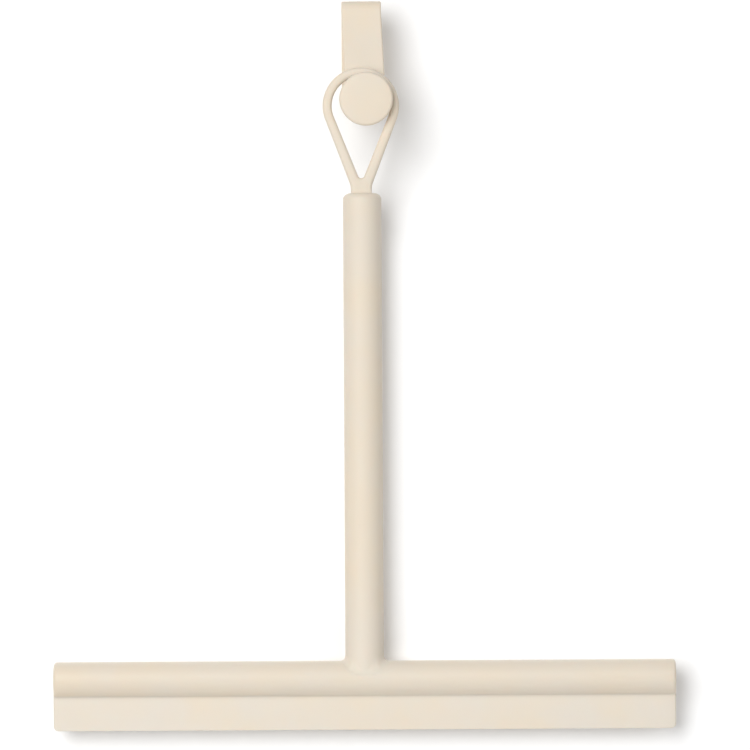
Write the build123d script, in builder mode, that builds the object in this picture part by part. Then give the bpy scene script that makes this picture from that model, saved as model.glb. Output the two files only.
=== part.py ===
from build123d import *
import math
import os

os.makedirs("parts", exist_ok=True)

# Squeegee that hangs by a silicone loop from a knob on an over-glass hanger.
# X runs along the blade, -Y is the front, +Z is up, in millimetres.
# The origin is the middle of the hanger bridge's underside, where it rests on the glass edge.

# Hanger: a bent steel strip inside a silicone skin
GLASS_GAP = 10.5
STRIP_T = 1.2
SKIN_T = 1.0
WALL = STRIP_T + 2 * SKIN_T
HANGER_W = 15.7
BEND_R = 4.2
REAR_LEG = 40.0
LEG_BACK = -GLASS_GAP / 2
LEG_FRONT = LEG_BACK - WALL

# Handle axis, and the plane that the loop lies in
HANDLE_Y = -14.0

# Loop: a teardrop band that ends in a rounded neck
LOOP_X = -0.3
LOOP_Z = -38.6
LOOP_IN_R = 11.5
LOOP_BAND = 3.6
LOOP_OUT_R = LOOP_IN_R + LOOP_BAND
LOOP_DEPTH = 3.0
POINT_DROP = 27.2
POINT_R = 1.3
NECK_W = 8.3
NECK_CORNER_Z = -70.2
NECK_PIVOT_Z = -71.1
BAND_EDGE_R = 1.1

# Knob: stem and flange at the end of the front leg, which leans a little to the right
KNOB_X = 1.8
KNOB_Z = -36.0
STEM_R = 7.9
FLANGE_R = 10.6
FLANGE_T = 2.6
FLANGE_GAP = 2.4
RIM_R = 1.2
FLANGE_BACK = HANDLE_Y - LOOP_DEPTH / 2 - FLANGE_GAP
FLANGE_FRONT = FLANGE_BACK - FLANGE_T
TURN_GAP = 0.05
SCREW_R = 1.95
SCREW_HEAD_R = 3.6
SCREW_HEAD_H = 0.9
INSERT_R = 2.9
INSERT_L = 8.0
WASHER_R = 4.5

# Handle
HANDLE_TOP = -73.0
HANDLE_R = 7.6
HANDLE_TOP_R = 3.0
TUBE_R = 6.0
TUBE_IN_R = 5.2
PLUG_TOP = -75.8
TUBE_TOP = -77.3
PLUG_END = -91.3
TAIL_W = 7.0
TAIL_T = 2.8
TAIL_END = -89.3
PIN_Z = -83.3
PIN_R = 1.0
SPIGOT_TOP = -240.9
TUBE_END = -254.9

# Head: a rounded bar over a rail
HEAD_L = 245.2
HEAD_TOP = -257.4
HEAD_MID = -263.9
HEAD_LOW = -270.8
HEAD_HALF = 7.9
HEAD_LOW_HALF = 3.4
JUNCTION_R = 2.2
RAIL_L = 237.0
RAIL_TOP = -259.0
RAIL_LOW = -269.3
RAIL_HALF = 5.0
CAP_T = 2.0
PORT_Z = -260.8
PORT_R = 1.2
PEG_L = 6.0
SEAT_Z = -262.3
FOOT_SCREW_R = 1.5
FOOT_HEAD_R = 2.9

# Blade: a bulb and web held in the rail, and a lip that bends below the head
BULB_Z = -265.0
BULB_R = 2.4
WEB_HALF = 1.1
ROD_R = 0.8
ROD_L = 235.0
LIP_L = 245.5
LIP_PIVOT_Z = -273.1
LIP_TOP_R = 2.0
TIP_HALF = 0.7
TIP_Z = -284.6
LIP_CORNER_R = 1.2


def hook(inset):
    """The hook's solid, drawn in by inset from the surface of its skin."""
    leg_r = HANGER_W / 2 - inset
    with BuildPart() as legs:
        with BuildSketch(Plane.XZ):
            with Locations((KNOB_X, KNOB_Z)):
                Circle(leg_r)
            with Locations((0, WALL - BEND_R)):
                Rectangle(2 * leg_r, 1, align=(Align.CENTER, Align.MIN))
            make_hull()
            with Locations((0, WALL - BEND_R)):
                Rectangle(2 * leg_r, 60, align=(Align.CENTER, Align.MIN))
        extrude(amount=20)
        with BuildSketch(Plane.XZ):
            with Locations((0, HANGER_W / 2 - REAR_LEG)):
                Circle(leg_r)
                Rectangle(2 * leg_r, 60, align=(Align.CENTER, Align.MIN))
        extrude(amount=-20)
    with BuildPart() as body:
        with BuildSketch(Plane.YZ) as outside:
            with Locations((0, WALL - inset)):
                Rectangle(GLASS_GAP + 2 * (WALL - inset), 60, align=(Align.CENTER, Align.MAX))
            fillet(outside.vertices().group_by(Axis.Y)[-1], BEND_R - inset)
        extrude(amount=20, both=True)
        with BuildSketch(Plane.YZ) as slot:
            with Locations((0, inset)):
                Rectangle(GLASS_GAP + 2 * inset, 80, align=(Align.CENTER, Align.MAX))
            fillet(slot.vertices().group_by(Axis.Y)[-1], BEND_R - WALL + inset)
        extrude(amount=20, both=True, mode=Mode.SUBTRACT)
        add(legs.part, mode=Mode.INTERSECT)
    return body.part


def knob_disc(radius, y_back, y_front):
    """A disc on the knob's axis between two depths."""
    with BuildPart() as disc:
        with BuildSketch(Plane.XZ.offset(-y_back)):
            with Locations((KNOB_X, KNOB_Z)):
                Circle(radius)
        extrude(amount=y_back - y_front)
    return disc.part


def knob_body(inset):
    """Stem and flange, drawn in by inset from the surface of the knob's skin."""
    with BuildPart() as body:
        add(knob_disc(STEM_R - inset, LEG_FRONT - TURN_GAP, FLANGE_BACK - FLANGE_T / 2))
        add(knob_disc(FLANGE_R - inset, FLANGE_BACK - inset, FLANGE_FRONT + inset))
        fillet(body.faces().sort_by(Axis.Y)[0].edges(), RIM_R - inset)
        rim = body.edges().filter_by(GeomType.CIRCLE).group_by(Axis.Y)
        back = [e for ring in rim for e in ring if abs(e.radius - FLANGE_R + inset) < 0.01]
        fillet(max(back, key=lambda e: e.center().Y), RIM_R - inset)
    return body.part


def upright(radius, z_low, z_high):
    """A round bar on the handle's axis."""
    with BuildPart() as bar:
        with BuildSketch(Plane.XY.offset(z_low)):
            with Locations((0, HANDLE_Y)):
                Circle(radius)
        extrude(amount=z_high - z_low)
    return bar.part


def upright_block(width, depth, z_low, z_high):
    """A rectangular block on the handle's axis."""
    with BuildPart() as block:
        with BuildSketch(Plane.XY.offset(z_low)):
            with Locations((0, HANDLE_Y)):
                Rectangle(width, depth)
        extrude(amount=z_high - z_low)
    return block.part


def along_blade(radius, z, x_low, x_high):
    """A round bar along the blade, in the handle's plane."""
    with BuildPart() as bar:
        with BuildSketch(Plane.YZ.offset(x_low)):
            with Locations((HANDLE_Y, z)):
                Circle(radius)
        extrude(amount=x_high - x_low)
    return bar.part


def rail_bar(x_low, x_high):
    """The rail's outer shape between two stations along the blade."""
    with BuildPart() as bar:
        with BuildSketch(Plane.YZ.offset(x_low)) as section:
            with Locations((HANDLE_Y, RAIL_TOP)):
                Rectangle(2 * RAIL_HALF, RAIL_TOP - RAIL_LOW, align=(Align.CENTER, Align.MAX))
            fillet(section.vertices().group_by(Axis.Y)[-1], 2.5)
            fillet(section.vertices().group_by(Axis.Y)[0], 3.5)
        extrude(amount=x_high - x_low)
    return bar.part


# ---- hanger ----
strip_solid = hook(SKIN_T)
screw_hole = knob_disc(SCREW_R + TURN_GAP, 0, LEG_FRONT)

with BuildPart() as hanger_strip:
    add(strip_solid)
    add(screw_hole, mode=Mode.SUBTRACT)
hanger_strip.part.label = "hanger_strip"
export_step(hanger_strip.part, "parts/hanger_strip.step")

with BuildPart() as hanger_skin:
    add(hook(0))
    add(strip_solid, mode=Mode.SUBTRACT)
    add(knob_disc(SCREW_HEAD_R + 0.3, LEG_BACK, LEG_BACK - SKIN_T), mode=Mode.SUBTRACT)
    add(knob_disc(WASHER_R, LEG_FRONT + SKIN_T, LEG_FRONT), mode=Mode.SUBTRACT)
hanger_skin.part.label = "hanger_skin"
export_step(hanger_skin.part, "parts/hanger_skin.step")

with BuildPart() as clamp_washer:
    add(knob_disc(WASHER_R, LEG_FRONT + SKIN_T, LEG_FRONT))
    add(screw_hole, mode=Mode.SUBTRACT)
clamp_washer.part.label = "clamp_washer"
export_step(clamp_washer.part, "parts/clamp_washer.step")

# ---- knob, which turns on its screw ----
head_face = LEG_BACK - SKIN_T + TURN_GAP + SCREW_HEAD_H
shank_end = LEG_FRONT - INSERT_L - 0.5
knob_start = LEG_FRONT - TURN_GAP

with BuildPart() as knob_screw:
    add(knob_disc(SCREW_HEAD_R, head_face, head_face - SCREW_HEAD_H))
    add(knob_disc(SCREW_R, head_face - SCREW_HEAD_H, shank_end))
    with BuildSketch(Plane.XZ.offset(-head_face)):
        with Locations((KNOB_X, KNOB_Z)):
            RegularPolygon(1.25, 6)
    extrude(amount=0.6, mode=Mode.SUBTRACT)
knob_screw.part.label = "knob_screw"
export_step(knob_screw.part, "parts/knob_screw.step")

core_solid = knob_body(SKIN_T)
with BuildPart() as knob_core:
    add(core_solid)
    add(knob_disc(INSERT_R, knob_start, knob_start - INSERT_L), mode=Mode.SUBTRACT)
    add(knob_disc(SCREW_R + TURN_GAP, knob_start, shank_end - 1), mode=Mode.SUBTRACT)
knob_core.part.label = "knob_core"
export_step(knob_core.part, "parts/knob_core.step")

with BuildPart() as knob_insert:
    add(knob_disc(INSERT_R, knob_start, knob_start - INSERT_L))
    add(knob_disc(SCREW_R + TURN_GAP, knob_start, knob_start - INSERT_L), mode=Mode.SUBTRACT)
knob_insert.part.label = "knob_insert"
export_step(knob_insert.part, "parts/knob_insert.step")

with BuildPart() as knob_skin:
    add(knob_body(0))
    add(core_solid, mode=Mode.SUBTRACT)
knob_skin.part.label = "knob_skin"
export_step(knob_skin.part, "parts/knob_skin.step")

# ---- loop ----
corner_drop = LOOP_Z - NECK_CORNER_Z
corner_reach = math.hypot(NECK_W / 2, corner_drop)
slope = math.asin(LOOP_OUT_R / corner_reach) - math.atan2(NECK_W / 2, corner_drop)
tangent_x = LOOP_OUT_R * math.cos(slope)
tangent_z = LOOP_Z - LOOP_OUT_R * math.sin(slope)

with BuildPart() as neck_trim:
    with Locations((LOOP_X, HANDLE_Y, NECK_PIVOT_Z)):
        Box(40, 20, 10, align=(Align.CENTER, Align.CENTER, Align.MAX))
        Cylinder(LOOP_DEPTH / 2, 40, rotation=(0, 90, 0), mode=Mode.SUBTRACT)

with BuildPart() as hanging_loop:
    with BuildSketch(Plane.XZ.offset(-HANDLE_Y)):
        with Locations((LOOP_X, LOOP_Z)):
            Circle(LOOP_OUT_R)
        with BuildLine():
            Polyline(
                (LOOP_X - tangent_x, tangent_z),
                (LOOP_X + tangent_x, tangent_z),
                (LOOP_X + NECK_W / 2, NECK_CORNER_Z),
                (LOOP_X + NECK_W / 2, NECK_PIVOT_Z - LOOP_DEPTH / 2),
                (LOOP_X - NECK_W / 2, NECK_PIVOT_Z - LOOP_DEPTH / 2),
                (LOOP_X - NECK_W / 2, NECK_CORNER_Z),
                close=True,
            )
        make_face()
    extrude(amount=LOOP_DEPTH / 2, both=True)
    with BuildSketch(Plane.XZ.offset(-HANDLE_Y)):
        with Locations((LOOP_X, LOOP_Z)):
            Circle(LOOP_IN_R)
        with Locations((LOOP_X, LOOP_Z - POINT_DROP)):
            Circle(POINT_R)
        make_hull()
    extrude(amount=LOOP_DEPTH, both=True, mode=Mode.SUBTRACT)
    fillet(hanging_loop.faces().sort_by(Axis.Y)[0].edges(), BAND_EDGE_R)
    fillet(hanging_loop.faces().sort_by(Axis.Y)[-1].edges(), BAND_EDGE_R)
    add(neck_trim.part, mode=Mode.SUBTRACT)
hanging_loop.part.label = "hanging_loop"
export_step(hanging_loop.part, "parts/hanging_loop.step")

# ---- handle ----
with BuildPart() as pin_bar:
    with BuildSketch(Plane.XZ.offset(-HANDLE_Y)):
        with Locations((0, PIN_Z)):
            Circle(PIN_R)
    extrude(amount=5, both=True)

with BuildPart() as loop_pin:
    add(pin_bar.part)
loop_pin.part.label = "loop_pin"
export_step(loop_pin.part, "parts/loop_pin.step")

with BuildPart() as tail_solid:
    add(upright_block(NECK_W, LOOP_DEPTH, PLUG_TOP, HANDLE_TOP))
    add(upright_block(TAIL_W, TAIL_T, TAIL_END, PLUG_TOP))

with BuildPart() as loop_tail:
    add(tail_solid.part)
    add(pin_bar.part, mode=Mode.SUBTRACT)
loop_tail.part.label = "loop_tail"
export_step(loop_tail.part, "parts/loop_tail.step")

with BuildPart() as loop_plug:
    add(upright(TUBE_R, TUBE_TOP, PLUG_TOP))
    add(upright(TUBE_IN_R, PLUG_END, TUBE_TOP))
    add(tail_solid.part, mode=Mode.SUBTRACT)
    add(pin_bar.part, mode=Mode.SUBTRACT)
loop_plug.part.label = "loop_plug"
export_step(loop_plug.part, "parts/loop_plug.step")

with BuildPart() as handle_tube:
    add(upright(TUBE_R, TUBE_END, TUBE_TOP))
    add(upright(TUBE_IN_R, TUBE_END, TUBE_TOP), mode=Mode.SUBTRACT)
handle_tube.part.label = "handle_tube"
export_step(handle_tube.part, "parts/handle_tube.step")

with BuildPart() as tube_spigot:
    add(upright(TUBE_IN_R, TUBE_END, SPIGOT_TOP))
    add(upright(TUBE_R, RAIL_TOP, TUBE_END))
    add(upright(FOOT_SCREW_R, RAIL_TOP, SPIGOT_TOP - 6), mode=Mode.SUBTRACT)
tube_spigot.part.label = "tube_spigot"
export_step(tube_spigot.part, "parts/tube_spigot.step")

with BuildPart() as spigot_screw:
    add(upright(FOOT_HEAD_R, SEAT_Z, SEAT_Z + 1.6))
    add(upright(FOOT_SCREW_R, SEAT_Z + 1.6, SPIGOT_TOP - 7))
    with BuildSketch(Plane.XY.offset(SEAT_Z)):
        with Locations((0, HANDLE_Y)):
            RegularPolygon(1.2, 6)
    extrude(amount=0.9, mode=Mode.SUBTRACT)
spigot_screw.part.label = "spigot_screw"
export_step(spigot_screw.part, "parts/spigot_screw.step")

# ---- head ----
half_rail = RAIL_L / 2

with BuildPart() as blade_bar:
    with BuildSketch(Plane.YZ.offset(-half_rail)):
        with Locations((HANDLE_Y, BULB_Z)):
            Circle(BULB_R)
            Rectangle(2 * WEB_HALF, BULB_Z - HEAD_LOW, align=(Align.CENTER, Align.MAX))
    extrude(amount=RAIL_L)

with BuildPart() as head_channel:
    add(rail_bar(-half_rail, half_rail))
    add(blade_bar.part, mode=Mode.SUBTRACT)
    add(upright(FOOT_HEAD_R, RAIL_LOW, SEAT_Z + 1.6), mode=Mode.SUBTRACT)
    add(upright(FOOT_SCREW_R, RAIL_LOW, RAIL_TOP), mode=Mode.SUBTRACT)
    add(along_blade(PORT_R, PORT_Z, -half_rail, -half_rail + PEG_L + 1), mode=Mode.SUBTRACT)
    add(along_blade(PORT_R, PORT_Z, half_rail - PEG_L - 1, half_rail), mode=Mode.SUBTRACT)
head_channel.part.label = "head_channel"
export_step(head_channel.part, "parts/head_channel.step")

with BuildPart() as blade_rod:
    add(along_blade(ROD_R, BULB_Z, -ROD_L / 2, ROD_L / 2))
blade_rod.part.label = "blade_rod"
export_step(blade_rod.part, "parts/blade_rod.step")

with BuildPart() as blade_root:
    add(blade_bar.part)
    add(along_blade(ROD_R, BULB_Z, -half_rail, half_rail), mode=Mode.SUBTRACT)
blade_root.part.label = "blade_root"
export_step(blade_root.part, "parts/blade_root.step")

with BuildPart() as end_plug_left:
    add(rail_bar(-half_rail - CAP_T, -half_rail))
    add(along_blade(PORT_R, PORT_Z, -half_rail, -half_rail + PEG_L))
end_plug_left.part.label = "end_plug_left"
export_step(end_plug_left.part, "parts/end_plug_left.step")

with BuildPart() as end_plug_right:
    add(rail_bar(half_rail, half_rail + CAP_T))
    add(along_blade(PORT_R, PORT_Z, half_rail - PEG_L, half_rail))
end_plug_right.part.label = "end_plug_right"
export_step(end_plug_right.part, "parts/end_plug_right.step")

# ---- T-shaped skin over the handle and the head ----
with BuildPart() as tee:
    with BuildSketch(Plane.YZ.offset(-HEAD_L / 2)):
        with BuildLine():
            Spline(
                (HANDLE_Y, HEAD_TOP),
                (HANDLE_Y + HEAD_HALF, HEAD_MID),
                tangents=[(1, 0), (0, -1)],
            )
            Spline(
                (HANDLE_Y + HEAD_HALF, HEAD_MID),
                (HANDLE_Y + HEAD_LOW_HALF, HEAD_LOW),
                tangents=[(0, -1), (-0.8, -0.6)],
            )
            Line((HANDLE_Y + HEAD_LOW_HALF, HEAD_LOW), (HANDLE_Y, HEAD_LOW))
            Line((HANDLE_Y, HEAD_LOW), (HANDLE_Y, HEAD_TOP))
        make_face()
    extrude(amount=HEAD_L)
    mirror(about=Plane.XZ.offset(-HANDLE_Y))
    fillet(tee.faces().sort_by(Axis.X)[0].edges(), 1.0)
    fillet(tee.faces().sort_by(Axis.X)[-1].edges(), 1.0)
    add(upright(HANDLE_R, HEAD_MID, HANDLE_TOP))
    junction = tee.edges().filter_by_position(Axis.X, -HANDLE_R - 0.1, HANDLE_R + 0.1)
    fillet(junction.filter_by_position(Axis.Z, HEAD_MID + 0.1, HEAD_TOP + 0.1), JUNCTION_R)
    fillet(tee.faces().sort_by(Axis.Z)[-1].edges(), HANDLE_TOP_R)

with BuildPart() as grip_skin:
    add(tee.part)
    add(upright(TUBE_R, RAIL_TOP, PLUG_TOP), mode=Mode.SUBTRACT)
    add(upright_block(NECK_W, LOOP_DEPTH, PLUG_TOP, HANDLE_TOP), mode=Mode.SUBTRACT)
    add(rail_bar(-half_rail - CAP_T, half_rail + CAP_T), mode=Mode.SUBTRACT)
    add(blade_bar.part, mode=Mode.SUBTRACT)
grip_skin.part.label = "grip_skin"
export_step(grip_skin.part, "parts/grip_skin.step")

# ---- blade lip, which bends about the line just below the head ----
with BuildPart() as blade_lip:
    with BuildSketch(Plane.YZ.offset(-LIP_L / 2)):
        with Locations((HANDLE_Y, LIP_PIVOT_Z)):
            Circle(LIP_TOP_R)
        with Locations((HANDLE_Y, TIP_Z)):
            Rectangle(2 * TIP_HALF, 0.5, align=(Align.CENTER, Align.MIN))
        make_hull()
    extrude(amount=LIP_L)
    tip_edges = blade_lip.edges().filter_by(Axis.Y).group_by(Axis.Z)[0]
    fillet(tip_edges, LIP_CORNER_R)
blade_lip.part.label = "blade_lip"
export_step(blade_lip.part, "parts/blade_lip.step")
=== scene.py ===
import math

import bmesh
import bpy
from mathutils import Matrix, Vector


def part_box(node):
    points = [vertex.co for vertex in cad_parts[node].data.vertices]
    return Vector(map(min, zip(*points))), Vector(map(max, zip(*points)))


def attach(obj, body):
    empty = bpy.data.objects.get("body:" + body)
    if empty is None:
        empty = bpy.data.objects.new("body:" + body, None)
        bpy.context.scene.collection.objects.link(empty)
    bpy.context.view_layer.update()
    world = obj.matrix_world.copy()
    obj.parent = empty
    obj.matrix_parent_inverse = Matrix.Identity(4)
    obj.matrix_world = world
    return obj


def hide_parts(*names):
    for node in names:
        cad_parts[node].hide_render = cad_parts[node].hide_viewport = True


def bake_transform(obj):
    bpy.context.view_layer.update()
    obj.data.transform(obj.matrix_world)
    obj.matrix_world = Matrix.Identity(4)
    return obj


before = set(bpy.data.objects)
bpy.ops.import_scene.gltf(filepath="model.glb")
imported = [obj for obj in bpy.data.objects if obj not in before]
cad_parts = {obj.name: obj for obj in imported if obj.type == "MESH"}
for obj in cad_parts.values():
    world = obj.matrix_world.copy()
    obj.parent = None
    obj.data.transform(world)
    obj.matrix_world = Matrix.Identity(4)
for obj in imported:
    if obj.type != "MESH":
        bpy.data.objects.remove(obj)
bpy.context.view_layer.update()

# -------------------------------------------- sizes in metres, from the frame where it has them
grip_lo, grip_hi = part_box("grip_skin")
tube_lo, tube_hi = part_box("handle_tube")
loop_lo, loop_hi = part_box("hanging_loop")
knob_lo, knob_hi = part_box("knob_skin")
hook_lo, hook_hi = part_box("hanger_skin")
lip_lo, lip_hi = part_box("blade_lip")

AX = (tube_lo.x + tube_hi.x) / 2           # the handle's axis
AY = (tube_lo.y + tube_hi.y) / 2
HANDLE_R = 0.0076
HEAD_HALF = (grip_hi.y - grip_lo.y) / 2
HEAD_LOW = grip_lo.z
HEAD_TOP = HEAD_LOW + 0.0134
HEAD_MID = HEAD_LOW + 0.0069               # where the head is deepest, front to back
HEAD_LOW_HALF = 0.0034                     # half the head's depth at its underside


# -------------------------------------------- helpers: curves and meshes
def ease(t):
    return t * t * (3 - 2 * t)


def quarter(count, first=0):
    """Angles in equal steps up to a quarter turn, from this step on."""
    return [math.pi / 2 * i / count for i in range(first, count + 1)]


def full_turn(count):
    return [2 * math.pi * k / count for k in range(count)]


def bezier(p0, p1, p2, p3, count):
    out = []
    for i in range(count + 1):
        t = i / count
        s = 1 - t
        out.append(tuple(s ** 3 * a + 3 * s * s * t * b + 3 * s * t * t * c + t ** 3 * d
                         for a, b, c, d in zip(p0, p1, p2, p3)))
    return out


def arc(cx, cy, r, a0, a1, count):
    angles = [math.radians(a0 + (a1 - a0) * i / count) for i in range(count + 1)]
    return [(cx + r * math.cos(a), cy + r * math.sin(a)) for a in angles]


def resample(points, count):
    """Points at equal distances along a line of points."""
    lengths = [0.0]
    for a, b in zip(points, points[1:]):
        lengths.append(lengths[-1] + math.dist(a, b))
    out = []
    j = 0
    for i in range(count + 1):
        want = lengths[-1] * i / count
        while j < len(points) - 2 and lengths[j + 1] < want:
            j += 1
        span = lengths[j + 1] - lengths[j] or 1.0
        t = (want - lengths[j]) / span
        out.append(tuple(p + (q - p) * t for p, q in zip(points[j], points[j + 1])))
    return out


CORNERS = ((1, 1, 0), (-1, 1, 90), (-1, -1, 180), (1, -1, 270))    # two signs and the arc's first angle
CORNER_STEPS = 5


def corner_arc(cx, cy, start, half_u, half_v, r):
    """One round corner of a rectangular section."""
    angles = [math.radians(start + 90 * j / CORNER_STEPS) for j in range(CORNER_STEPS + 1)]
    return [(cx * (half_u - r) + r * math.cos(a), cy * (half_v - r) + r * math.sin(a)) for a in angles]


def loft(rings, around=True, cap_first=False, cap_last=False, join_ends=False):
    """Quads between rings of equal length. Each ring is closed if around is true."""
    n = len(rings[0])
    verts = [p for ring in rings for p in ring]
    faces = []
    spans = len(rings) if join_ends else len(rings) - 1
    for i in range(spans):
        a, b = i * n, ((i + 1) % len(rings)) * n
        for k in range(n if around else n - 1):
            m = (k + 1) % n
            faces.append((a + k, a + m, b + m, b + k))
    if cap_first:
        faces.append(tuple(range(n - 1, -1, -1)))
    if cap_last:
        start = (len(rings) - 1) * n
        faces.append(tuple(start + k for k in range(n)))
    return verts, faces


def both(first, second):
    """Two sets of points and faces as one."""
    start = len(first[0])
    return first[0] + second[0], first[1] + [tuple(i + start for i in face) for face in second[1]]


def mesh_piece(name, verts, faces, smooth=True):
    me = bpy.data.meshes.new(name)
    me.from_pydata([tuple(v) for v in verts], [], faces)
    me.validate()
    if smooth:
        me.shade_smooth()
    ob = bpy.data.objects.new(name, me)
    bpy.context.scene.collection.objects.link(ob)
    return ob


def outward(ob):
    """Turns the faces outward."""
    bm = bmesh.new()
    bm.from_mesh(ob.data)
    bmesh.ops.recalc_face_normals(bm, faces=bm.faces)
    bm.to_mesh(ob.data)
    bm.free()
    return ob


# -------------------------------------------- materials
class Nodes:
    """A short way to write a node tree."""

    def __init__(self, name):
        self.mat = bpy.data.materials.new(name)
        self.mat.use_nodes = True
        self.tree = self.mat.node_tree
        self.tree.nodes.clear()
        self.out = self.tree.nodes.new("ShaderNodeOutputMaterial")
        self.bsdf = self.tree.nodes.new("ShaderNodeBsdfPrincipled")
        self.tree.links.new(self.bsdf.outputs[0], self.out.inputs[0])
        self.coord = self.tree.nodes.new("ShaderNodeTexCoord")

    def add(self, kind, values=None, links=None, **props):
        node = self.tree.nodes.new(kind)
        for k, v in props.items():
            setattr(node, k, v)
        for k, v in (values or {}).items():
            node.inputs[k].default_value = v
        for k, v in (links or {}).items():
            self.tree.links.new(v, node.inputs[k])
        return node

    def link(self, a, b):
        self.tree.links.new(a, b)

    def surface(self, **values):
        """Sets sockets of the shader that are the same all over. Underscores stand for spaces."""
        for k, v in values.items():
            self.bsdf.inputs[k.replace("_", " ")].default_value = v

    def noise(self, scale, detail=2.0, rough=0.5, stretch=None):
        vec = self.coord.outputs["Object"]
        if stretch:
            vec = self.add("ShaderNodeMapping", {"Scale": stretch}, {"Vector": vec}).outputs[0]
        return self.add("ShaderNodeTexNoise", {"Scale": scale, "Detail": detail, "Roughness": rough},
                        {"Vector": vec}).outputs["Fac"]

    def ramp(self, fac, from_lo, from_hi, to_lo, to_hi):
        return self.add("ShaderNodeMapRange",
                        {"From Min": from_lo, "From Max": from_hi, "To Min": to_lo, "To Max": to_hi},
                        {"Value": fac}).outputs["Result"]

    def mix(self, fac, a, b):
        node = self.add("ShaderNodeMix", data_type="RGBA", blend_type="MIX")
        for sock, val in ((0, fac), (6, a), (7, b)):
            if isinstance(val, (int, float)):
                node.inputs[sock].default_value = val
            elif isinstance(val, tuple):
                node.inputs[sock].default_value = (*val, 1)
            else:
                self.link(val, node.inputs[sock])
        return node.outputs[2]

    def bump(self, height, strength, distance, normal=None):
        node = self.add("ShaderNodeBump", {"Strength": strength, "Distance": distance}, {"Height": height})
        if normal:
            self.link(normal, node.inputs["Normal"])
        return node.outputs[0]


def shade(colour, factor):
    return tuple(c * factor for c in colour)


def silicone(name, base, seam=False, rough=0.52, seed=0.0):
    """Matte moulded silicone: cloudy pigment, a fine satin grain, faint specks and handling marks."""
    m = Nodes(name)
    cloud = m.noise(38 + seed, detail=3.0, rough=0.55)
    speck = m.noise(900 + 20 * seed, detail=2.0, rough=0.6)
    grain = m.noise(5200, detail=2.0, rough=0.5)
    ripple = m.noise(260, detail=2.0)
    marks = m.noise(120, detail=4.0, rough=0.6, stretch=(1.0, 1.0, 0.35))
    warm = tuple(c * f for c, f in zip(base, (1.012, 0.992, 0.955)))
    cool = tuple(c * f for c, f in zip(base, (0.985, 1.0, 1.02)))
    colour = m.mix(m.ramp(cloud, 0.35, 0.65, 0.0, 1.0), cool, warm)
    colour = m.mix(m.ramp(speck, 0.60, 0.78, 0.0, 0.55), colour, shade(base, 0.965))
    m.link(colour, m.bsdf.inputs["Base Color"])
    m.link(m.ramp(marks, 0.3, 0.7, rough - 0.05, rough + 0.07), m.bsdf.inputs["Roughness"])
    normal = m.bump(grain, strength=0.10, distance=0.00006)
    normal = m.bump(ripple, strength=0.10, distance=0.00012, normal=normal)
    if seam:
        sep = m.add("ShaderNodeSeparateXYZ", None, {0: m.coord.outputs["Object"]})
        off = m.add("ShaderNodeMath", {1: AY}, {0: sep.outputs["Y"]}, operation="SUBTRACT").outputs[0]
        dist = m.add("ShaderNodeMath", None, {0: off}, operation="ABSOLUTE").outputs[0]
        ridge = m.ramp(dist, 0.00005, 0.00016, 1.0, 0.0)
        normal = m.bump(ridge, strength=0.35, distance=0.00005, normal=normal)
    m.link(normal, m.bsdf.inputs["Normal"])
    m.surface(IOR=1.43, Specular_IOR_Level=0.42, Sheen_Weight=0.10, Sheen_Roughness=0.45,
              Subsurface_Weight=0.06, Subsurface_Scale=0.0012)
    return m.mat


def metal(name, base, rough, stretch=None, scale=900):
    """Drawn, turned or brushed metal: fine lines along one direction, and slight dulling."""
    m = Nodes(name)
    lines = m.noise(scale, detail=3.0, rough=0.6, stretch=stretch)
    cloud = m.noise(60, detail=3.0)
    lighter = tuple(min(1.0, c) for c in shade(base, 1.06))
    colour = m.mix(m.ramp(lines, 0.3, 0.7, 0.0, 1.0), shade(base, 0.94), lighter)
    colour = m.mix(m.ramp(cloud, 0.55, 0.8, 0.0, 0.25), colour, shade(base, 0.8))
    m.link(colour, m.bsdf.inputs["Base Color"])
    m.link(m.ramp(lines, 0.3, 0.7, rough - 0.06, rough + 0.10), m.bsdf.inputs["Roughness"])
    m.link(m.bump(lines, strength=0.18, distance=0.00003), m.bsdf.inputs["Normal"])
    m.surface(Metallic=1.0)
    return m.mat


def nylon(name, base):
    """Moulded nylon: satin with a soft spark-eroded texture."""
    m = Nodes(name)
    grain = m.noise(2600, detail=3.0, rough=0.6)
    cloud = m.noise(90, detail=2.0)
    colour = m.mix(m.ramp(cloud, 0.35, 0.65, 0.0, 1.0), base, shade(base, 0.93))
    m.link(colour, m.bsdf.inputs["Base Color"])
    m.link(m.ramp(grain, 0.3, 0.7, 0.42, 0.58), m.bsdf.inputs["Roughness"])
    m.link(m.bump(grain, strength=0.25, distance=0.00005), m.bsdf.inputs["Normal"])
    return m.mat


SAND = (0.675, 0.597, 0.492)
SAND_BLADE = (0.668, 0.603, 0.512)
mat_grip = silicone("silicone_grip", SAND, seam=True)
mat_loop = silicone("silicone_loop", SAND, seam=True, seed=3.0)
mat_knob = silicone("silicone_knob", SAND, seed=5.0)
mat_hook = silicone("silicone_hook", SAND, seed=7.0)
mat_blade = silicone("silicone_blade", SAND_BLADE, rough=0.46, seed=9.0)
mat_steel = metal("steel_brushed", (0.62, 0.61, 0.59), rough=0.30, stretch=(1.0, 1.0, 0.04))
mat_screw = metal("steel_screw", (0.56, 0.56, 0.55), rough=0.26, scale=1400)
mat_brass = metal("brass_insert", (0.80, 0.60, 0.28), rough=0.28, stretch=(1.0, 0.1, 1.0))
mat_rail = metal("aluminium_rail", (0.74, 0.74, 0.75), rough=0.34, stretch=(0.03, 1.0, 1.0), scale=1200)
mat_turned = metal("aluminium_turned", (0.72, 0.72, 0.73), rough=0.30, stretch=(0.1, 0.1, 1.0), scale=2200)
mat_nylon = nylon("nylon_sand", (0.70, 0.63, 0.52))

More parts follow.
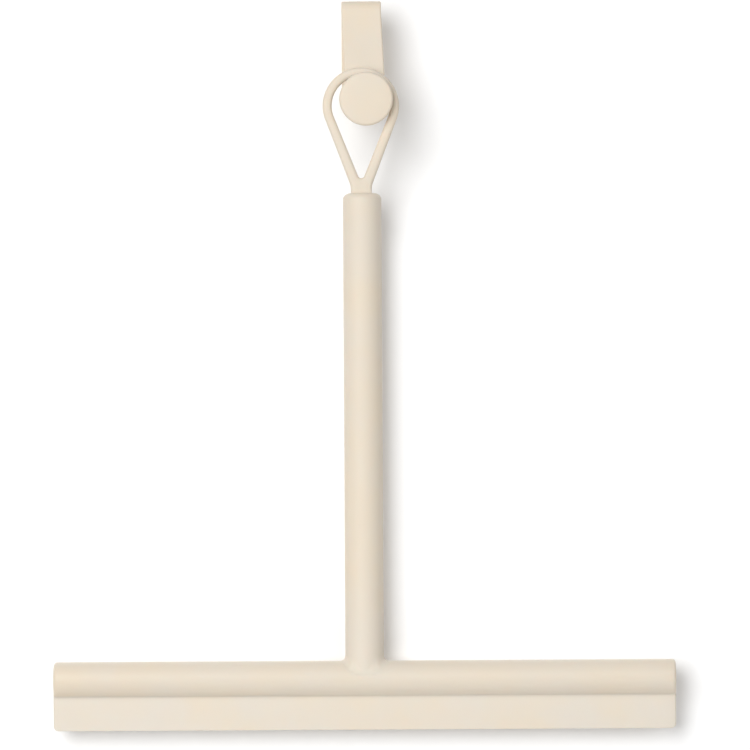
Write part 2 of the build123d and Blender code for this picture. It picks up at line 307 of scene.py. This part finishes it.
cad_materials = {
    "hanger_strip": mat_steel, "clamp_washer": mat_screw, "knob_screw": mat_screw,
    "knob_core": mat_nylon, "knob_insert": mat_brass, "loop_tail": mat_loop,
    "loop_pin": mat_screw, "loop_plug": mat_nylon, "handle_tube": mat_steel,
    "tube_spigot": mat_turned, "spigot_screw": mat_screw, "head_channel": mat_rail,
    "blade_root": mat_blade, "blade_rod": mat_screw, "end_plug_left": mat_nylon,
    "end_plug_right": mat_nylon, "grip_skin": mat_grip, "hanging_loop": mat_loop,
    "knob_skin": mat_knob, "hanger_skin": mat_hook, "blade_lip": mat_blade,
}
for node, mat in cad_materials.items():
    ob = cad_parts[node]
    if len(ob.data.materials) == 0:
        ob.data.materials.append(mat)
    for s in ob.material_slots:
        s.material = mat


def finish_piece(ob, mat, slot, *nodes):
    ob.data.materials.append(mat)
    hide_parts(*nodes)
    return ob


# -------------------------------------------- grip: the head
HEAD_STEPS = 40
HEAD_END_R = 0.0013          # rounding of the head's two ends
SLOT_HALF = 0.0016           # half the slot that the blade comes out of
FOOT_INSET = 0.75            # the part by which the narrow foot is drawn in less than the rest
END_RING = 0.0002            # how far inside an end face the ring lies that keeps it flat


def head_top_z(half):
    """Height of the head's upper surface at this distance in front of or behind the axis."""
    q = min(abs(half) / HEAD_HALF, 1.0)
    return HEAD_MID + (HEAD_TOP - HEAD_MID) * math.sqrt(max(0.0, 1 - q * q))


def head_slope(half):
    step = 1e-5
    below = max(half - step, 0)
    return (head_top_z(half + step) - head_top_z(below)) / (half + step - below)


def head_outline():
    """Closed outline (y, z) of the head: half round above, a taper to the blade below."""
    foot = (HEAD_LOW_HALF + 0.00022, HEAD_LOW + 0.00030)
    top = [(HEAD_HALF * math.sin(a), HEAD_MID + (HEAD_TOP - HEAD_MID) * math.cos(a)) for a in quarter(24)]
    taper = bezier((HEAD_HALF, HEAD_MID), (HEAD_HALF, HEAD_MID - 0.0030),
                   (HEAD_LOW_HALF + 0.0021, HEAD_LOW + 0.0016), foot, 20)
    edge = bezier(foot, (HEAD_LOW_HALF + 0.0001, HEAD_LOW + 0.0001),
                  (HEAD_LOW_HALF - 0.0001, HEAD_LOW), (HEAD_LOW_HALF - 0.0004, HEAD_LOW), 4)
    half = top + taper[1:] + edge[1:] + [(SLOT_HALF, HEAD_LOW)]
    return half + [(-y, z) for y, z in reversed(half[1:])]


def head_section(shrink):
    """The head's outline, drawn in by shrink."""
    points = head_outline()
    if not shrink:
        return points
    out = []
    for i, (y, z) in enumerate(points):
        (ay, az), (by, bz) = points[i - 1], points[(i + 1) % len(points)]
        dy, dz = by - ay, bz - az
        d = math.hypot(dy, dz) or 1.0
        low = min(1.0, max(0.0, (HEAD_MID - z) / (HEAD_MID - HEAD_LOW)))
        inset = shrink * (1 - FOOT_INSET * low)
        out.append((y + inset * dz / d, z - inset * dy / d))
    return out


def head_rings():
    """Rings along the head, with round ends."""
    x0, x1, r = grip_lo.x, grip_hi.x, HEAD_END_R
    end = [(x0 + r - r * math.cos(a), r - r * math.sin(a)) for a in quarter(6)]
    middle = [(x0 + r + (x1 - x0 - 2 * r) * i / HEAD_STEPS, 0.0) for i in range(1, HEAD_STEPS)]
    stations = end + middle + [(x1 - (x - x0), s) for x, s in reversed(end)]
    stations = [(x0, r + END_RING)] + stations + [(x1, r + END_RING)]
    return [[Vector((x, AY + y, z)) for y, z in head_section(s)] for x, s in stations]


# -------------------------------------------- grip: the handle, with a soft fillet at the T
TURNS = full_turn(72)
HANDLE_STEPS = 40
FILLET_STEPS = 12
TOP_EDGE = 0.0030            # rounding of the handle's top edge
TOP_EDGE_HIGH = 0.86         # the rounding's height as a part of its width
TOP_FLAT = 0.0028            # radius of the flat middle of the handle's top
FLARE = 0.0023               # how far the fillet spreads onto the head
FLARE_LEAST = 0.00012        # and how far at least
HEAD_COVER = 0.985           # the part of the head's depth that the fillet may cover
SINK = 0.00003               # how deep the fillet's foot lies in the head
TURN_MOST = 0.004            # limit for the fillet's turning point above its foot
RISE = 0.0012                # height of the fillet's start above that point
RISE_FLARED = 0.0016         # and how much more it is where the fillet spreads
INSIDE_R = 0.002             # the last ring, hidden inside the head


def handle_point(r, angle, z):
    return Vector((AX + r * math.cos(angle), AY + r * math.sin(angle), z))


def fillet(angle):
    """Points (radius, z) on this side of the handle, from the handle down to the head."""
    side = abs(math.sin(angle))
    reach = FLARE
    if side > 1e-6:
        reach = min(FLARE, HEAD_COVER * HEAD_HALF / side - HANDLE_R)
    foot_r = HANDLE_R + max(reach, FLARE_LEAST)
    foot_z = head_top_z(foot_r * side) - SINK
    slope = head_slope(foot_r * side) * side
    turn_z = min(foot_z - slope * (foot_r - HANDLE_R), foot_z + TURN_MOST)
    rise = RISE + RISE_FLARED * min(1.0, reach / FLARE)
    out = []
    for i in range(FILLET_STEPS + 1):
        t = i / FILLET_STEPS
        q = 1 - t
        r = q * q * HANDLE_R + 2 * q * t * HANDLE_R + t * t * foot_r
        z = q * q * (turn_z + rise) + 2 * q * t * turn_z + t * t * foot_z
        out.append((r, z))
    return out


def handle_rings():
    """Rings from the flat top down the handle and its fillet, and one inside the head to close it."""
    fillets = [fillet(a) for a in TURNS]
    rings = [[handle_point(TOP_FLAT, a, grip_hi.z) for a in TURNS]]
    for q in quarter(10, first=1):
        r = HANDLE_R - TOP_EDGE + TOP_EDGE * math.sin(q)
        z = grip_hi.z - TOP_EDGE * (1 - math.cos(q)) * TOP_EDGE_HIGH
        rings.append([handle_point(r, a, z) for a in TURNS])
    start = rings[-1][0].z
    for i in range(1, HANDLE_STEPS):
        t = i / HANDLE_STEPS
        rings.append([handle_point(HANDLE_R, a, start + (f[0][1] - start) * t)
                      for a, f in zip(TURNS, fillets)])
    for i in range(FILLET_STEPS + 1):
        rings.append([handle_point(f[i][0], a, f[i][1]) for a, f in zip(TURNS, fillets)])
    rings.append([handle_point(INSIDE_R, a, HEAD_MID) for a in TURNS])
    return rings


head = loft(head_rings(), cap_first=True, cap_last=True)
handle = loft(handle_rings(), cap_first=True, cap_last=True)
grip = outward(mesh_piece("grip_skin_visual", *both(head, handle)))
finish_piece(grip, mat_grip, "grip_skin", "grip_skin")
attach(grip, "squeegee")

# -------------------------------------------- blade: one strip from the head's slot to its tip
BLADE_TOP = lip_hi.z + 0.001     # where the taper starts
ROOT_HALF = 0.0020           # half the blade's thickness at the head
TAPER = 0.0013               # how much of that is lost at the tip
SWELL = 0.0006               # how much thicker each side is where the blade leaves the head
SWELL_OVER = 0.00045         # and how fast that fades
CORNER = 0.0018              # radius of the blade's lower corners
BLADE_END_R = 0.0008         # rounding of the blade's two ends
BLADE_STEPS = 60
ROW_STEP = 0.00045           # distance of the blade's rows, away from the head
NEAR_HEAD = (0.0008, 0.0002, 0.0, -0.00015, -0.0003, -0.0005, -0.0008, -0.0012)
TIP_ROUND = (0.00001, 0.00012)   # how much the last two rows are thinner


def blade_half(z):
    """Half the blade's thickness: it tapers to the tip and swells a little where it leaves the head."""
    t = (BLADE_TOP - z) / (BLADE_TOP - lip_lo.z)
    t = max(0.0, min(1.0, t))
    return ROOT_HALF - TAPER * t + SWELL * math.exp(-max(0.0, HEAD_LOW - z) / SWELL_OVER)


def blade_rows():
    """Heights from the slot to the tip, closer together near the head and at the round corners."""
    rows = [HEAD_LOW + dz for dz in NEAR_HEAD]
    z = HEAD_LOW - 0.0016
    while z > lip_lo.z + CORNER + 0.0002:
        rows.append(z)
        z -= ROW_STEP
    return rows + [lip_lo.z + CORNER * (1 - math.sin(a)) for a in quarter(9)]


def blade_end(z):
    """How far the blade's end is drawn in at this height: its lower corners are round."""
    d = z - lip_lo.z
    return 0.0 if d >= CORNER else CORNER - math.sqrt(max(0.0, CORNER ** 2 - (CORNER - d) ** 2))


def blade_section():
    """Closed outline (y, z) of the blade."""
    profile = [[blade_half(z), z] for z in blade_rows()]
    for row, less in zip(profile[-2:], TIP_ROUND):
        row[0] -= less
    return [(y, z) for y, z in profile] + [(-y, z) for y, z in reversed(profile)]


def blade_rings():
    x0, x1 = lip_lo.x + BLADE_END_R, lip_hi.x - BLADE_END_R
    section = blade_section()
    end = [(BLADE_END_R * math.cos(a), 1 - BLADE_END_R * (1 - math.sin(a)) / ROOT_HALF) for a in quarter(3)]
    left = [[Vector((x0 - out + blade_end(z), AY + y * thin, z)) for y, z in section] for out, thin in end]
    right = [[Vector((x1 + out - blade_end(z), AY + y * thin, z)) for y, z in section]
             for out, thin in reversed(end)]
    middle = []
    for i in range(1, BLADE_STEPS):
        t = i / BLADE_STEPS
        middle.append([Vector((x0 + blade_end(z) + (x1 - x0 - 2 * blade_end(z)) * t, AY + y, z))
                       for y, z in section])
    return left + middle + right


blade = outward(mesh_piece("blade_visual", *loft(blade_rings(), cap_first=True, cap_last=True)))
finish_piece(blade, mat_blade, "blade_lip", "blade_lip")
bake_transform(blade)

# -------------------------------------------- loop: a teardrop band that runs into its neck
R_OUT = (loop_hi.x - loop_lo.x) / 2
BAND = 0.0036                # width of the band
R_IN = R_OUT - BAND
LX = (loop_lo.x + loop_hi.x) / 2
LZ = loop_hi.z - R_OUT       # the centre of the round part
BAND_HALF_DEEP = (loop_hi.y - loop_lo.y) / 2
BAND_EDGE = 0.0013           # rounding of the band's edges
DROP, R_PT = 0.0272, 0.0013  # the eye's point: how far it lies below the centre, and its radius
NECK = 0.00415               # half the neck's width
SHOULDER_DROP = 0.0316       # how far the neck's shoulders lie below the centre
SHOULDER_SOFT = 0.0016       # rounding of the shoulders
SHOULDER_STEPS = 8
FOOT_DEEP = 0.0016           # how far the neck goes on below the CAD loop, into its tail
ROUND_STEPS, SIDE_STEPS, NECK_STEPS, FOOT_STEPS = 44, 26, 16, 6


def outer_path(foot):
    """Right half of the outer outline, from the top down to the middle of the neck's foot."""
    lean = math.asin(R_OUT / math.hypot(NECK, SHOULDER_DROP)) - math.atan2(NECK, SHOULDER_DROP)
    leave = (R_OUT * math.cos(lean), -R_OUT * math.sin(lean))
    corner = (NECK, -SHOULDER_DROP)
    run = (leave[0] - corner[0], leave[1] - corner[1])
    d = math.hypot(*run)
    before = (corner[0] + run[0] / d * SHOULDER_SOFT, corner[1] + run[1] / d * SHOULDER_SOFT)
    after = (NECK, corner[1] - SHOULDER_SOFT * 0.8)
    shoulder = [tuple(b * (1 - t) ** 2 + 2 * c * t * (1 - t) + a * t * t
                      for b, c, a in zip(before, corner, after))
                for t in [i / SHOULDER_STEPS for i in range(SHOULDER_STEPS + 1)]]
    path = resample(arc(0, 0, R_OUT, 90, -math.degrees(lean), 48), ROUND_STEPS)
    path += resample([leave, before], SIDE_STEPS)[1:]
    path += resample(shoulder + [(NECK, foot)], NECK_STEPS)[1:]
    return path + resample([(NECK, foot), (0, foot)], FOOT_STEPS)[1:]


def inner_path():
    """Right half of the eye's outline, from the top down to its point."""
    lean = math.asin((R_IN - R_PT) / DROP)
    leave = (R_IN * math.cos(lean), -R_IN * math.sin(lean))
    meet = (R_PT * math.cos(lean), -DROP - R_PT * math.sin(lean))
    path = resample(arc(0, 0, R_IN, 90, -math.degrees(lean), 48), ROUND_STEPS)
    path += resample([leave, meet], SIDE_STEPS)[1:]
    return path + resample(arc(0, -DROP, R_PT, -math.degrees(lean), -90, 16), NECK_STEPS + FOOT_STEPS)[1:]


def band_ring(o, i, sign):
    """A rounded-rectangle section between an outer and an inner point."""
    width = math.dist(o, i)
    r = min(BAND_EDGE, width * 0.45)
    ux, uz = (o[0] - i[0]) / width, (o[1] - i[1]) / width
    mx, mz = (o[0] + i[0]) / 2, (o[1] + i[1]) / 2
    ring = []
    for cx, cy, start in CORNERS:
        for u, v in corner_arc(cx, cy, start, width / 2, BAND_HALF_DEEP, r):
            ring.append(Vector((LX + sign * (mx + u * ux), AY + v, LZ + mz + u * uz)))
    return ring


pairs = list(zip(outer_path(loop_lo.z - FOOT_DEEP - LZ), inner_path()))
band = [band_ring(o, i, 1) for o, i in pairs] + [band_ring(o, i, -1) for o, i in pairs[-2:0:-1]]
loop = outward(mesh_piece("loop_visual", *loft(band, join_ends=True)))
finish_piece(loop, mat_loop, "hanging_loop", "hanging_loop", "loop_tail")
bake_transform(loop)

# -------------------------------------------- knob: stem and flange, turned about its axis
KX, KZ = (knob_lo.x + knob_hi.x) / 2, (knob_lo.z + knob_hi.z) / 2
KR = (knob_hi.x - knob_lo.x) / 2
STEM = 0.0079                # radius of the stem
BORE = 0.0069                # radius of the cover's inside
COVER = 0.001                # thickness of the cover
FLANGE = 0.0026              # thickness of the flange
KNOB_EDGE = 0.0011           # rounding of the flange's edges
STEM_FOOT = 0.0004           # rounding between stem and flange
CROWN = 0.00030              # height of the front face's middle over its rim
CAP_R = 0.0005               # radius of the cap in the middle of the cover's inside


def knob_profile():
    """Points (radius, y): the cover's inside from the middle out, then its outside to the front face."""
    back, front = knob_hi.y, knob_lo.y
    rear = front + FLANGE
    rim = KR - KNOB_EDGE
    inside = [(CAP_R, front + COVER), (KR - COVER, front + COVER), (KR - COVER, rear - COVER),
              (BORE, rear - COVER), (BORE, back)]
    stem = [(STEM, back), (STEM, back - 0.002), (STEM, rear + 2 * STEM_FOOT)]
    foot = [(STEM + STEM_FOOT * (1 - math.cos(a)), rear + STEM_FOOT * (1 - math.sin(a)))
            for a in quarter(5, first=1)]
    rear_edge = [(rim + KNOB_EDGE * math.sin(a), rear - KNOB_EDGE * (1 - math.cos(a))) for a in quarter(8)]
    front_edge = [(rim + KNOB_EDGE * math.cos(a), front + CROWN + KNOB_EDGE * (1 - math.sin(a)))
                  for a in quarter(10)]
    face = [(rim * q, front + CROWN * q ** 4) for q in [1 - i / 16 for i in range(1, 16)]]
    return inside + stem + foot + rear_edge + front_edge + face


knob_rings = [[Vector((KX + r * math.cos(a), y, KZ + r * math.sin(a))) for a in full_turn(128)]
              for r, y in knob_profile()]
knob = outward(mesh_piece("knob_skin_visual", *loft(knob_rings, cap_first=True, cap_last=True)))
finish_piece(knob, mat_knob, "knob_skin", "knob_skin")
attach(knob, "knob")

# -------------------------------------------- hanger skin: a strap bent over the glass
STRAP = 0.0032               # thickness of the strap
STRAP_EDGE = 0.0007          # rounding of its edges
STRAP_HALF = -hook_lo.x      # half its width, and the radius of its round ends
LEG_Y = (hook_hi.y - hook_lo.y) / 2 - STRAP / 2
BEND_R = 0.0042              # outer radius of the two bends
BEND_Y = (hook_hi.y - hook_lo.y) / 2 - BEND_R
BEND_Z = hook_hi.z - BEND_R
BEND_MID = BEND_R - STRAP / 2
REAR_END = -0.040            # height of the rear leg's lower end
FAR = 1.0                    # a distance from the ends that is too long to matter
LEAST_HALF = 0.0004          # the strap's ends are not narrower than this, to each side
BESIDE = 0.0002              # how far from a round corner the flat's extra point lies
END_STEPS, LEG_STEPS, BEND_STEPS, BRIDGE_STEPS = 16, 8, 12, 6


def leg_x(z):
    """Middle of the front leg, which leans to the right on its way down to the knob."""
    return KX * max(0.0, min(1.0, (BEND_Z - z) / (BEND_Z - KZ)))


def leg_heights(end):
    """Heights from a leg's round end up to the bend, closer together near the end."""
    round_end = [end + STRAP_HALF * (1 - math.cos(a)) for a in quarter(END_STEPS)]
    straight = BEND_Z - end - STRAP_HALF
    return round_end + [end + STRAP_HALF + straight * i / LEG_STEPS for i in range(1, LEG_STEPS + 1)]


def strap_bend(y, angles):
    """A quarter bend about this y and the height of the bends."""
    return [(0.0, y + BEND_MID * math.cos(a), BEND_Z + BEND_MID * math.sin(a), math.sin(a), -math.cos(a), FAR)
            for a in angles]


def strap_stations():
    """Each: x, y and z on the strap's middle line, its direction in y and z, distance from the end."""
    front = [(leg_x(z), -LEG_Y, z, 0.0, 1.0, z - hook_lo.z) for z in leg_heights(hook_lo.z)]
    front_bend = strap_bend(-BEND_Y, [math.pi - a for a in quarter(BEND_STEPS, first=1)])
    bridge = [(0.0, -BEND_Y + 2 * BEND_Y * i / BRIDGE_STEPS, hook_hi.z - STRAP / 2, 1.0, 0.0, FAR)
              for i in range(1, BRIDGE_STEPS + 1)]
    rear_bend = strap_bend(BEND_Y, [math.pi / 2 - a for a in quarter(BEND_STEPS, first=1)])
    rear = [(0.0, LEG_Y, z, 0.0, -1.0, z - REAR_END) for z in reversed(leg_heights(REAR_END)[:-1])]
    return front + front_bend + bridge + rear_bend + rear


def strap_ring(x, y, z, ty, tz, from_end):
    """A rounded-rectangle section, narrower near the strap's round ends and thinner at their edge."""
    half = STRAP_HALF
    if from_end < STRAP_HALF:
        half = math.sqrt(max(0.0, STRAP_HALF * STRAP_HALF - (STRAP_HALF - from_end) ** 2))
    half = max(half, LEAST_HALF)
    r = min(STRAP_EDGE, half * 0.9)
    lift = 0.0
    if from_end < STRAP_EDGE:
        lift = STRAP_EDGE - math.sqrt(max(0.0, STRAP_EDGE ** 2 - (STRAP_EDGE - from_end) ** 2))
    thick = STRAP / 2
    thin = (thick - lift) / thick
    inner = half - r - min(BESIDE, (half - r) * 0.3)
    outline = []
    for cx, cy, start in CORNERS:
        corner = corner_arc(cx, cy, start, half, thick, r)
        beside = (cx * inner, cy * thick)
        outline += corner + [beside] if cx == cy else [beside] + corner
    return [Vector((x + u, y - v * tz * thin, z + v * ty * thin)) for u, v in outline]


strap = [strap_ring(*s) for s in strap_stations()]
hook = outward(mesh_piece("hanger_skin_visual", *loft(strap, cap_first=True, cap_last=True)))
finish_piece(hook, mat_hook, "hanger_skin", "hanger_skin")
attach(hook, "hanger")

# -------------------------------------------- camera, at the photograph's viewing angle
SENSOR = 36.0                # millimetres
VIEW_WIDE = 0.29585          # width of the picture at the handle
VIEW_FROM = 2.60             # distance from the handle
VIEW_ROLL = 0.32             # degrees
VIEW_X, VIEW_Z = 0.0047, -0.14477    # the middle of the picture

scene = bpy.context.scene
cam_data = bpy.data.cameras.new("camera")
cam = bpy.data.objects.new("camera", cam_data)
scene.collection.objects.link(cam)
scene.camera = cam
cam_data.sensor_width = SENSOR
cam_data.lens = SENSOR * VIEW_FROM / VIEW_WIDE
cam_data.clip_start = 0.05
cam_data.clip_end = 20.0
cam.location = (VIEW_X, AY - VIEW_FROM, VIEW_Z)
cam.rotation_euler = (math.radians(90), 0, 0)
cam.rotation_euler.rotate_axis("Z", -math.radians(VIEW_ROLL))

# -------------------------------------------- floor and backdrop
FLOOR_Z = -0.55
FLOOR_HALF = 0.5
BACKDROP_HALF = 0.27
BACKDROP_TOP = 0.12
BACKDROP_STEPS = 12


def plain(name, grey):
    """A plain surface, seen from its front only, that lets the light behind it reach the object."""
    m = Nodes(name)
    m.bsdf.inputs["Base Color"].default_value = (grey, grey, grey, 1)
    m.surface(Roughness=0.9, Specular_IOR_Level=0.1)
    face = m.add("ShaderNodeNewGeometry").outputs["Backfacing"]
    shadow = m.add("ShaderNodeLightPath").outputs["Is Shadow Ray"]
    unseen = m.add("ShaderNodeMath", None, {0: face, 1: shadow}, operation="MAXIMUM").outputs[0]
    clear = m.add("ShaderNodeBsdfTransparent").outputs[0]
    mixer = m.add("ShaderNodeMixShader", None, {0: unseen, 1: m.bsdf.outputs[0], 2: clear})
    m.link(mixer.outputs[0], m.out.inputs[0])
    return m.mat


def backdrop_path():
    """(y, z) from the floor up: close behind the handle, then turned back behind the hanger."""
    near_y, far_y = AY + 0.0115, hook_hi.y + 0.0088
    turn_lo, turn_hi = hook_lo.z - 0.056, hook_lo.z - 0.001
    path = [(near_y, FLOOR_Z)]
    for t in [i / BACKDROP_STEPS for i in range(BACKDROP_STEPS + 1)]:
        path.append((near_y + (far_y - near_y) * ease(t), turn_lo + (turn_hi - turn_lo) * t))
    return path + [(far_y, BACKDROP_TOP)]


floor_corners = [(x * FLOOR_HALF, y * FLOOR_HALF, FLOOR_Z) for x, y in ((-1, -1), (1, -1), (1, 1), (-1, 1))]
floor = mesh_piece("floor", floor_corners, [(0, 1, 2, 3)], smooth=False)
floor.data.materials.append(plain("floor_pale", 0.94))
backdrop_lines = [[Vector((x, y, z)) for x in (-BACKDROP_HALF, BACKDROP_HALF)] for y, z in backdrop_path()]
wall = mesh_piece("backdrop", *loft(backdrop_lines, around=False))
wall.data.materials.append(plain("backdrop_pale", 0.915))

# -------------------------------------------- light
LIT = Vector((0, AY, -0.15))           # what the lamps point at
AMBIENT = 0.27                         # the world's light. The camera sees it as plain white.


def lamp(name, place, wide, tall, watts):
    data = bpy.data.lights.new(name, "AREA")
    data.shape = "ELLIPSE"
    data.size = wide
    data.size_y = tall
    data.energy = watts
    ob = bpy.data.objects.new(name, data)
    ob.location = place
    ob.rotation_euler = (LIT - Vector(place)).to_track_quat("-Z", "Y").to_euler()
    scene.collection.objects.link(ob)


def studio_world():
    """White as the camera sees it, and a weaker white as light."""
    world = bpy.data.worlds.new("studio")
    world.use_nodes = True
    nodes, links = world.node_tree.nodes, world.node_tree.links
    light = nodes["Background"]
    seen = nodes.new("ShaderNodeBackground")
    for background, strength in ((light, AMBIENT), (seen, 1.0)):
        background.inputs["Color"].default_value = (1, 1, 1, 1)
        background.inputs["Strength"].default_value = strength
    mixer = nodes.new("ShaderNodeMixShader")
    links.new(nodes.new("ShaderNodeLightPath").outputs["Is Camera Ray"], mixer.inputs[0])
    links.new(light.outputs[0], mixer.inputs[1])
    links.new(seen.outputs[0], mixer.inputs[2])
    links.new(mixer.outputs[0], nodes["World Output"].inputs[0])
    return world


lamp("key", (-0.76, -1.9, 0.42), wide=1.40, tall=2.2, watts=42.2)
lamp("fill", (1.3, -1.9, 0.3), wide=1.9, tall=1.9, watts=11.4)
lamp("rear", (-0.2, 1.4, 0.1), wide=1.1, tall=1.1, watts=5.5)
scene.world = studio_world()
scene.view_settings.view_transform = "Standard"
scene.view_settings.look = "None"
